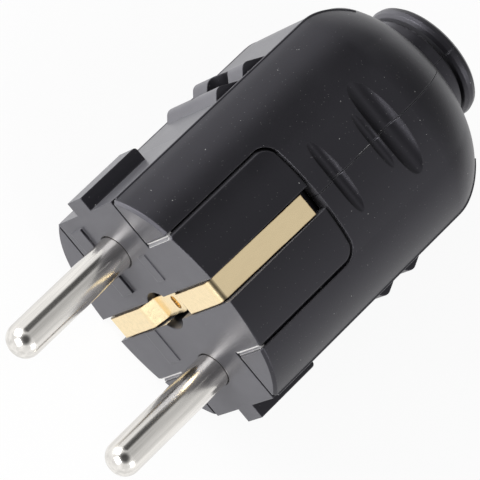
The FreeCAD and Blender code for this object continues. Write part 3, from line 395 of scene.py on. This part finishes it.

# %% [markdown]
# The mouldings are one black thermoplastic. On the real plug they are nearly black on top, grey where
# they face the table, and paler on the flanks where the light falls. One dark colour would look like
# a toy, so the colour is built in layers: the plastic, its worn edges, the dust on it, and painted
# light on the sides that face left, forward and down. Gloss drifts a little from place to place, and
# edges are rounded for the light alone with a Bevel node. The carrier is a little glossier and darker
# than the shells.

# %% Moulded plastic
MOTTLE_SCALE = 120.0
TINT_STOPS = (0.3, 0.7)
TINT_SPAN = (0.85, 1.2)
WORN_PLASTIC = (0.035, 0.034, 0.036, 1)
WORN_WIDTH = 0.18
DUST_COLOUR = (0.38, 0.38, 0.37, 1)
SPECKS = {"Size": 0.036}
FINE_SPECKS = {"Scale": 1900.0, "Size": 0.09}
FINE_SPECKS_SHOW = 0.22
# Painted light: the paler colour of the sides that face left, forward and down.
PAINTED_LIGHT_COLOUR = (0.103, 0.102, 0.112, 1)
GLOSS_DRIFT = (-0.04, 0.05)
BLUISH_GLOSS = (0.89, 0.87, 1.0, 1)
GRAIN_SCALE = 5200.0
GRAIN_STRENGTH = 0.35


def blank_material(name):
    """Material with a Principled shader and nothing else."""
    material = bpy.data.materials.new(name)
    material.use_nodes = True
    tree = material.node_tree
    tree.nodes.clear()
    shader = add(tree, "ShaderNodeBsdfPrincipled")
    out = add(tree, "ShaderNodeOutputMaterial")
    tree.links.new(shader.outputs[0], out.inputs["Surface"])
    return material, tree, shader


def paint(tree, under, mask, colour):
    """A plain colour over what lies under it, as far as the mask says."""
    mix = add(tree, "ShaderNodeMix", data_type="RGBA")
    mix.inputs["B"].default_value = colour
    tree.links.new(mask, mix.inputs["Factor"])
    tree.links.new(under, mix.inputs["A"])
    return mix.outputs["Result"]


def dust_mask(tree, share):
    """Sparse specks, and fainter fine ones between them."""
    fine = combine(tree, "MULTIPLY", use(tree, DUST, Share=share, **FINE_SPECKS), FINE_SPECKS_SHOW)
    return combine(tree, "MAXIMUM", use(tree, DUST, Share=share, **SPECKS), fine)


def moulded_plastic(name, colour, roughness, index, edge, grain_depth, dust_share):
    """Satin moulding with softened edges, grain, mottling, wear, dust and painted side light. Lengths in
    mm.
    """
    material, tree, shader = blank_material(name)
    mottle = use(tree, MOTTLE, Scale=MOTTLE_SCALE)
    tints = [tuple(c * strength for c in colour) for strength in TINT_SPAN]
    layers = ramp(tree, mottle, list(zip(TINT_STOPS, tints)))
    layers = paint(tree, layers, use(tree, EDGE, Width=WORN_WIDTH * MM), WORN_PLASTIC)
    layers = paint(tree, layers, dust_mask(tree, dust_share), DUST_COLOUR)
    # Painted light: the sides that face left, forward and down are painted paler.
    layers = paint(tree, layers, use(tree, PAINTED_SIDE_LIGHT), PAINTED_LIGHT_COLOUR)
    tree.links.new(layers, shader.inputs["Base Color"])
    gloss = spread(tree, mottle, (0.0, 1.0), [roughness + drift for drift in GLOSS_DRIFT])
    tree.links.new(gloss, shader.inputs["Roughness"])
    shader.inputs["IOR"].default_value = index
    shader.inputs["Specular Tint"].default_value = BLUISH_GLOSS
    soft = add(tree, "ShaderNodeBevel", samples=BEVEL_SAMPLES, Radius=edge * MM)
    bump = add(tree, "ShaderNodeBump", Strength=GRAIN_STRENGTH, Distance=grain_depth * MM)
    tree.links.new(use(tree, GRAIN, Scale=GRAIN_SCALE), bump.inputs["Height"])
    tree.links.new(soft.outputs[0], bump.inputs["Normal"])
    tree.links.new(bump.outputs[0], shader.inputs["Normal"])
    return material


SHELL_PLASTIC = moulded_plastic("satin_black_shell", (0.005, 0.0048, 0.0058), roughness=0.35,
                                index=1.56, edge=0.22, grain_depth=0.03, dust_share=0.8)
CARRIER_PLASTIC = moulded_plastic("satin_black_carrier", (0.0025, 0.0024, 0.003), roughness=0.34,
                                  index=1.56, edge=0.30, grain_depth=0.02, dust_share=0.6)
print("plastics:", SHELL_PLASTIC.name, CARRIER_PLASTIC.name)

# %% [markdown]
# The metals are turned, stamped or plated, and each keeps fine marks. The pins are nickel over
# brass, dulled by use to a warm grey. The strips are bare rolled brass with brown edges, where the
# tarnish is never rubbed off. The screws, the nut and the washer are zinc-plated steel. The marks
# could be anisotropic gloss, but that needs a tangent on every mesh. Noise drawn out along Y does
# it for all three metals, because only the colour, the gloss and the tarnish differ.

# %% Metals
MARKS = {"Scale": 1400.0, "Detail": 4.0}
MARK_STOPS = (0.35, 0.6)
TARNISH = {"Width": 0.20 * MM, "Full": 0.88}
METAL_GLOSS_SPAN = (0.7, 1.4)
MARK_STRENGTH = 0.15
MARK_DEPTH = 0.02


def drawn_metal(name, colour, roughness, streak, stretch, tarnish):
    """Metal with fine marks along Y, the longer the smaller stretch is, and tarnished edges."""
    material, tree, shader = blank_material(name)
    shader.inputs["Metallic"].default_value = 1.0
    drawn_out = add(tree, "ShaderNodeMapping")
    drawn_out.inputs["Scale"].default_value = (1.0, stretch, 1.0)
    where = add(tree, "ShaderNodeTexCoord").outputs["Object"]
    tree.links.new(where, drawn_out.inputs["Vector"])
    marks = noise(tree, drawn_out.outputs[0], **MARKS).outputs["Fac"]
    streaked = tuple(c * (1 - streak) for c in colour)
    tint = ramp(tree, marks, list(zip(MARK_STOPS, (streaked, colour))))
    aged = paint(tree, tint, use(tree, EDGE, **TARNISH), (*tarnish, 1))
    tree.links.new(aged, shader.inputs["Base Color"])
    gloss = spread(tree, marks, (0.0, 1.0), [roughness * factor for factor in METAL_GLOSS_SPAN])
    tree.links.new(gloss, shader.inputs["Roughness"])
    bump = add(tree, "ShaderNodeBump", Strength=MARK_STRENGTH, Distance=MARK_DEPTH * MM)
    tree.links.new(marks, bump.inputs["Height"])
    tree.links.new(bump.outputs[0], shader.inputs["Normal"])
    return material


NICKEL = drawn_metal("polished_nickel", (0.86, 0.835, 0.795), roughness=0.17, streak=0.20,
                     stretch=0.05, tarnish=(0.50, 0.43, 0.34))
BRASS = drawn_metal("bright_brass", (0.98, 0.80, 0.50), roughness=0.17, streak=0.05,
                    stretch=0.3, tarnish=(0.20, 0.10, 0.035))
ZINC = drawn_metal("zinc_plate", (0.60, 0.61, 0.62), roughness=0.32, streak=0.15,
                   stretch=0.5, tarnish=(0.42, 0.42, 0.42))
print("metals:", NICKEL.name, BRASS.name, ZINC.name)

# %% [markdown]
# Now every node of the construction gets its finish by name. What isn't listed is small hardware
# inside the plug, and is zinc-plated. Of that, only the housing screw and its nut can be seen, in
# the pockets on the two flanks.

# %% Give each node its finish
FINISHES = {
    "contact_carrier": CARRIER_PLASTIC,
    "terminal_retainer": CARRIER_PLASTIC,
    "cord_clamp_bar": CARRIER_PLASTIC,
    "left_shell": SHELL_PLASTIC,
    "right_shell": SHELL_PLASTIC,
    "pin_left": NICKEL,
    "pin_right": NICKEL,
    "upper_earth_strip": BRASS,
    "lower_earth_strip": BRASS,
    "earth_terminal": BRASS,
}
for name, node in nodes.items():
    node.data.materials.clear()
    node.data.materials.append(FINISHES.get(name, ZINC))
print("finished nodes:", len(nodes))

# %% [markdown]
# At its front corners each tongue ends in a pair of fine moulded beads, which lie in the slot beside
# the shells. They are the first thing that a socket rubs against. Their pale colour is a painted
# highlight, for the light that they catch.
# Curves with a bevel would give two round wires, but the real beads are one moulding. So its profile
# is drawn once in plan, run up the slot as rings of points, and mirrored to all four corners. It
# stays behind the front face, and its back is sunk in the tongue it was moulded with.

# %% Corner beads
# The plan is X and Y in millimetres. A level is a height and how far the plan is set back there.
BEAD_PLAN = [(9.06, 0.75), (9.06, 0.30), (9.03, 0.16), (8.94, 0.09), (8.84, 0.12), (8.76, 0.21),
             (8.70, 0.22), (8.64, 0.12), (8.54, 0.04), (8.42, 0.02), (8.34, 0.05), (8.34, 0.30),
             (8.80, 0.85)]
BEAD_LEVELS = [(8.02, 0.10), (8.08, 0.03), (8.20, 0.0), (13.55, 0.0), (13.70, 0.04), (13.78, 0.12)]
# Pale plastic: on the corner beads a painted highlight, on the parting burr scraped plastic.
SCRAPED_AND_HIGHLIGHT_PLASTIC = moulded_plastic("scraped_plastic_and_painted_highlight", (0.62, 0.61, 0.60), roughness=0.30,
                                 index=1.54, edge=0.05, grain_depth=0.01, dust_share=0.3)


def bead_column(mesh, side, up):
    """One pair of beads: rings of the plan at each level, set back at the rounded ends."""
    rings = []
    for height, back in BEAD_LEVELS:
        ring = []
        for x, y in BEAD_PLAN:
            ring.append(mesh.verts.new((side * x * MM, (y + back) * MM, up * height * MM)))
        rings.append(ring)
    for low, high in zip(rings, rings[1:]):
        for i in range(len(BEAD_PLAN)):
            j = (i + 1) % len(BEAD_PLAN)
            mesh.faces.new((low[i], low[j], high[j], high[i]))
    mesh.faces.new(rings[0])
    mesh.faces.new(rings[-1])


def object_from(name, mesh):
    """Object at the origin, made from a bmesh."""
    data = bpy.data.meshes.new(name)
    mesh.to_mesh(data)
    mesh.free()
    piece = bpy.data.objects.new(name, data)
    bpy.context.scene.collection.objects.link(piece)
    return piece


beads = bmesh.new()
for side in (-1, 1):
    for up in (-1, 1):
        bead_column(beads, side, up)
bmesh.ops.recalc_face_normals(beads, faces=beads.faces)
piece = object_from("corner_beads", beads)
# The pale colour of the beads is a painted highlight.
piece.data.materials.append(SCRAPED_AND_HIGHLIGHT_PLASTIC)
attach(piece, "root")
print("corner beads:", len(piece.data.polygons), "faces")

# %% [markdown]
# The next pieces all follow the shells, so Geometry Nodes make them. Their trees share a start,
# with a chain of edges and named sizes going in, and an end: a round profile is swept along the
# curve, and the result becomes real geometry with its finish. The finished plug needs no live
# modifier, so the evaluated result is kept as a plain mesh and the modifier is removed.

# %% Geometry Nodes helpers
def piece_tree(name, **inputs):
    """Geometry Nodes tree that takes a chain of edges and inputs of the given kinds."""
    tree = bpy.data.node_groups.new(name, "GeometryNodeTree")
    tree.interface.new_socket("Chain", in_out="INPUT", socket_type="NodeSocketGeometry")
    for label, kind in inputs.items():
        tree.interface.new_socket(label, in_out="INPUT", socket_type=f"NodeSocket{kind}")
    tree.interface.new_socket("Piece", in_out="OUTPUT", socket_type="NodeSocketGeometry")
    return tree, tree.nodes.new("NodeGroupInput"), tree.nodes.new("NodeGroupOutput")


def sweep_profile(tree, curve, radius, sides):
    """Round profile along a curve, with closed ends."""
    profile = add(tree, "GeometryNodeCurvePrimitiveCircle", Resolution=sides)
    tree.links.new(radius, profile.inputs["Radius"])
    body = tree.nodes.new("GeometryNodeCurveToMesh")
    body.inputs["Fill Caps"].default_value = True
    tree.links.new(curve, body.inputs["Curve"])
    tree.links.new(profile.outputs[0], body.inputs["Profile Curve"])
    return body


def close_tree(tree, given, result, body):
    """Make the swept body real geometry, give it its finish and put it out."""
    real = tree.nodes.new("GeometryNodeRealizeInstances")
    tree.links.new(body.outputs[0], real.inputs[0])
    painted = tree.nodes.new("GeometryNodeSetMaterial")
    tree.links.new(real.outputs[0], painted.inputs["Geometry"])
    tree.links.new(given.outputs["Finish"], painted.inputs["Material"])
    tree.links.new(painted.outputs[0], result.inputs[0])


def set_inputs(modifier, **values):
    """Give a Geometry Nodes modifier its inputs, by the sockets' identifiers."""
    for item in modifier.node_group.interface.items_tree:
        if item.item_type == "SOCKET" and item.in_out == "INPUT" and item.name in values:
            modifier[item.identifier] = values[item.name]


def grow(name, runs, group, smooth, **inputs):
    """Piece of the shells that a tree makes along runs of points, as one plain mesh."""
    chains = bmesh.new()
    for run in runs:
        points = [chains.verts.new(p) for p in run]
        for before, after in zip(points, points[1:]):
            chains.edges.new((before, after))
    piece = object_from(name, chains)
    modifier = piece.modifiers.new("grow", "NODES")
    modifier.node_group = group
    set_inputs(modifier, **inputs)
    graph = bpy.context.evaluated_depsgraph_get()
    plain = bpy.data.meshes.new_from_object(piece.evaluated_get(graph))
    piece.modifiers.clear()
    piece.data = plain
    if smooth:
        for face in plain.polygons:
            face.use_smooth = True
    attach(piece, "root")
    print(name, len(plain.polygons), "faces")


# %% [markdown]
# Where the two half shells meet, a worn mould leaves a burr: a thin broken thread of plastic along
# the parting line, whitened where it was scraped. Bump could fake it, but the real one stands up and
# follows the surface down into the scallops. A row of points is dropped on the left shell beside the
# line, and the nodes turn it into the burr: they drop some stretches, shake the rest a little and
# give it a thickness that comes and goes.

# %% Parting line
RAY_START = 30.0
BURR_OFFSET = 0.09
BURR_START, BURR_STOP, BURR_STEP = 19.9, 36.0, 0.10
BURR_THICKNESS = 0.045
BURR_WANDER = 0.08
BURR_KEPT = 0.45
BURR_SIDES = 6
BURR_SEEDS = {"upper": 4, "lower": 9}
PATCHES = {"Scale": 420.0, "Detail": 2.0}
SHAKE_LEAST, SHAKE_MOST = (-0.6, -1.0, -0.2), (0.6, 1.0, 0.8)
SWELL_LEAST, SWELL_MOST = 0.35, 1.0
UP = {"upper": 1, "lower": -1}

shell = nodes["left_shell"].data
SHELL_SURFACE = BVHTree.FromPolygons([v.co for v in shell.vertices], [p.vertices for p in shell.polygons])


def hits_along(x, start, stop, step, up):
    """Places and normals where rays from above (or below) meet the left shell, along Y at one X."""
    hits = []
    for i in range(int((stop - start) / step) + 1):
        above = Vector((x, start + i * step, up * RAY_START)) * MM
        place, normal, _, _ = SHELL_SURFACE.ray_cast(above, Vector((0, 0, -up)))
        if place is not None:
            hits.append((place, normal))
    return hits


def burr_tree():
    """Geometry Nodes: a chain of edges in, a broken wandering burr out."""
    tree, given, result = piece_tree("parting_burr", Thickness="Float", Wander="Float", Kept="Float",
                                     Seed="Int", Finish="Material")
    patches = add(tree, "ShaderNodeTexNoise", **PATCHES)
    bare = add(tree, "FunctionNodeCompare", data_type="FLOAT", operation="GREATER_THAN")
    tree.links.new(patches.outputs[0], bare.inputs[0])
    tree.links.new(given.outputs["Kept"], bare.inputs[1])
    broken = add(tree, "GeometryNodeDeleteGeometry", domain="POINT")
    tree.links.new(given.outputs["Chain"], broken.inputs["Geometry"])
    tree.links.new(bare.outputs[0], broken.inputs["Selection"])
    threads = tree.nodes.new("GeometryNodeMeshToCurve")
    tree.links.new(broken.outputs[0], threads.inputs[0])
    shake = add(tree, "FunctionNodeRandomValue", data_type="FLOAT_VECTOR")
    shake.inputs[0].default_value = SHAKE_LEAST
    shake.inputs[1].default_value = SHAKE_MOST
    tree.links.new(given.outputs["Seed"], shake.inputs["Seed"])
    reach = add(tree, "ShaderNodeVectorMath", operation="SCALE")
    tree.links.new(shake.outputs[0], reach.inputs[0])
    tree.links.new(given.outputs["Wander"], reach.inputs["Scale"])
    moved = tree.nodes.new("GeometryNodeSetPosition")
    tree.links.new(threads.outputs[0], moved.inputs["Geometry"])
    tree.links.new(reach.outputs[0], moved.inputs["Offset"])
    swell = add(tree, "FunctionNodeRandomValue", data_type="FLOAT")
    swell.inputs[2].default_value = SWELL_LEAST
    swell.inputs[3].default_value = SWELL_MOST
    tree.links.new(given.outputs["Seed"], swell.inputs["Seed"])
    body = sweep_profile(tree, moved.outputs[0], given.outputs["Thickness"], BURR_SIDES)
    tree.links.new(swell.outputs[1], body.inputs["Scale"])
    close_tree(tree, given, result, body)
    return tree


BURR_TREE = burr_tree()
for clip_side, seed in BURR_SEEDS.items():
    line = hits_along(-BURR_OFFSET, BURR_START, BURR_STOP, BURR_STEP, UP[clip_side])
    grow(f"{clip_side}_parting_burr", [[place for place, _ in line]], BURR_TREE, smooth=False,
         Thickness=BURR_THICKNESS * MM, Wander=BURR_WANDER * MM, Kept=BURR_KEPT, Seed=seed,
         Finish=SCRAPED_AND_HIGHLIGHT_PLASTIC)

# %% [markdown]
# A fine rounded lip runs along each long edge of the shells, between the flank and the corner arc.
# From above it reads as a dark double line with a thread of light in it. It starts beside the front
# face, follows the flank and bends in with the shoulder. Its path is found by rays from the side, so
# it can't leave the flank, and a second, simpler tree sweeps a small circle along it at an even
# spacing. The lower pair hardly stands out, because the far edge of the real plug looks smooth.

# %% Flank lips
LIP_HEIGHT = 8.40
LIP_PROBE = 8.55
LIP_RADIUS = 0.24
LIP_START, LIP_END, LIP_STEP = 0.6, 43.0, 0.5
# How far the middle of a lip stands out of the flank. Less than zero is sunk.
LIP_STAND = {"upper": -0.02, "lower": -0.17}
SWEEP_SIDES = 12
SWEEP_SPACING = 0.4


def sweep_tree():
    """Geometry Nodes: a chain of edges in, a round moulding along it out."""
    tree, given, result = piece_tree("round_lip", Radius="Float", Spacing="Float", Finish="Material")
    line = tree.nodes.new("GeometryNodeMeshToCurve")
    tree.links.new(given.outputs["Chain"], line.inputs[0])
    even = add(tree, "GeometryNodeResampleCurve", mode="LENGTH")
    tree.links.new(line.outputs[0], even.inputs["Curve"])
    tree.links.new(given.outputs["Spacing"], even.inputs["Length"])
    body = sweep_profile(tree, even.outputs[0], given.outputs["Radius"], SWEEP_SIDES)
    close_tree(tree, given, result, body)
    return tree


def lip_path(side, clip_side):
    """Points of one lip, found on the left flank and mirrored to its own place."""
    path = []
    for i in range(int((LIP_END - LIP_START) / LIP_STEP) + 1):
        y = LIP_START + i * LIP_STEP
        hit = SHELL_SURFACE.ray_cast(Vector((-RAY_START, y, LIP_PROBE)) * MM, Vector((1, 0, 0)))[0]
        x = hit.x - LIP_STAND[clip_side] * MM
        path.append((side * x, y * MM, UP[clip_side] * LIP_HEIGHT * MM))
    return path


def swept(name, runs, radius):
    """Round mouldings along runs of points, in the plastic of the shells."""
    grow(name, runs, SWEEP_TREE, smooth=True, Radius=radius * MM, Spacing=SWEEP_SPACING * MM,
         Finish=SHELL_PLASTIC)


SWEEP_TREE = sweep_tree()
lips = [lip_path(side, clip_side) for side in (1, -1) for clip_side in UP]
swept("flank_lips", lips, LIP_RADIUS)

# %% [markdown]
# Half shells that only met face to face would let light through. Real ones interlock: a small
# tongue on one edge sits in a groove of the other, just below the surface. It is hidden, but without
# it the parting line would shine white from straight above. It is swept like the lips, in the middle
# of the wall and a little under the surface that the rays meet. A second short run lies close to the
# cord's bore, where the wall of the neck is thick.

# %% Interlock of the shells
TONGUE_DEPTH = 0.55
TONGUE_RADIUS = 0.28
TONGUE_START, TONGUE_STOP, TONGUE_STEP = 20.2, 51.0, 0.4
NECK_RUN_HEIGHT = 5.6
NECK_RUN_START, NECK_RUN_STOP = 47.4, 50.2


def tongue_path(up):
    """Points under the outer surface beside the parting line, set in along the surface normal."""
    path = []
    for place, normal in hits_along(-BURR_OFFSET, TONGUE_START, TONGUE_STOP, TONGUE_STEP, up):
        inside = place - normal.normalized() * TONGUE_DEPTH * MM
        path.append((0.0, inside.y, inside.z))
    return path


def neck_path(up):
    """Both ends of the short run in the neck."""
    return [(0.0, y * MM, up * NECK_RUN_HEIGHT * MM) for y in (NECK_RUN_START, NECK_RUN_STOP)]


tongues = [path(up) for path in (tongue_path, neck_path) for up in UP.values()]
swept("shell_interlock", tongues, TONGUE_RADIUS)

# %% [markdown]
# Last comes the plain view transform, under which a colour renders as it is written. The box of the
# construction has been kept since loading.

# %% Render settings
bpy.context.scene.view_settings.view_transform = "Standard"
